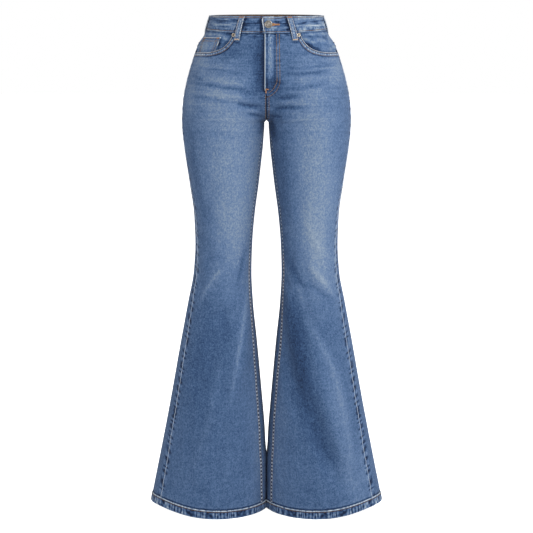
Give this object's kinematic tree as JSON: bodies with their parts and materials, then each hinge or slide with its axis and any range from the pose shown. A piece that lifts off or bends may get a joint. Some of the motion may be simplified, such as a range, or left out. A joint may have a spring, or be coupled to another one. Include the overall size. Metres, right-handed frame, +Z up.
{
  "type": "flared jeans",
  "caption": "High-waisted denim jeans, close over hip and thigh and flaring wide from the knee, hollow and filled out as when worn.",
  "frame": {"origin": "the middle of the waist, level with the waistband's top edge at the side seams, where the wearer holds the garment up", "axes": "+Z up out of the waist, -Y towards the front with the fly, +X towards the wearer's left"},
  "size_m": [0.5042, 0.2141, 1.0682],
  "materials": {
    "denim": "mid blue stretch denim, washed, faded on the thighs and seams",
    "aged_metal": "aged nickel and copper, satin"
  },
  "bodies": {
    "root": {"front_left": "denim", "front_right": "denim", "back_left": "denim", "back_right": "denim", "yoke_left": "denim", "yoke_right": "denim", "waistband": "denim", "belt_loop_front_right": "denim", "belt_loop_front_left": "denim", "belt_loop_side_right": "denim", "belt_loop_side_left": "denim", "belt_loop_back": "denim", "pocket_facing_left": "denim", "pocket_facing_right": "denim", "coin_pocket": "denim", "back_pocket_left": "denim", "back_pocket_right": "denim", "hem_left": "denim", "hem_right": "denim", "button": "aged_metal", "rivet_left": "aged_metal", "rivet_right": "aged_metal"}
  },
  "joints": []
}
